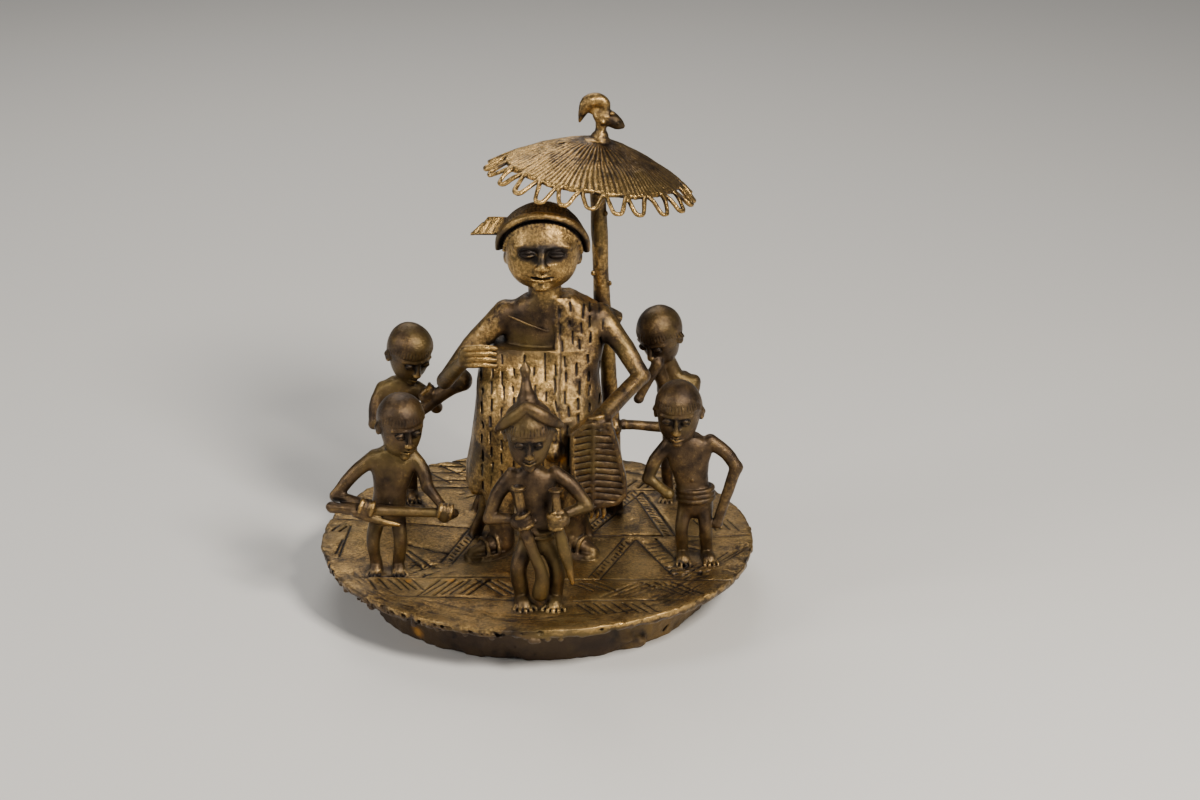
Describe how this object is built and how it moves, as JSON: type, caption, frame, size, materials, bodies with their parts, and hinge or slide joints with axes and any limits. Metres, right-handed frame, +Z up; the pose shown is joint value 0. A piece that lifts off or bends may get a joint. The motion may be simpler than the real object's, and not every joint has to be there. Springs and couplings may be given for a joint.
{
  "type": "cast brass figure group of a seated chief under a state umbrella",
  "caption": "Lost-wax brass figure group: a chief on a stool under a state umbrella, with attendants, on a round engraved plate with a ring foot.",
  "frame": {"origin": "centre of the ring foot's underside, where the group stands", "axes": "+Z up; the chief and the front attendant face -Y; +X is the side of the umbrella pole"},
  "size_m": [0.16, 0.16, 0.1841],
  "materials": {
    "cast_brass": "old cast brass: dark brown-black patina, rubbed to a dull gold on raised parts, with dusty hollows and rust-brown casting earth on the foot"
  },
  "bodies": {
    "root": {"figure_group": "cast_brass"}
  },
  "joints": []
}
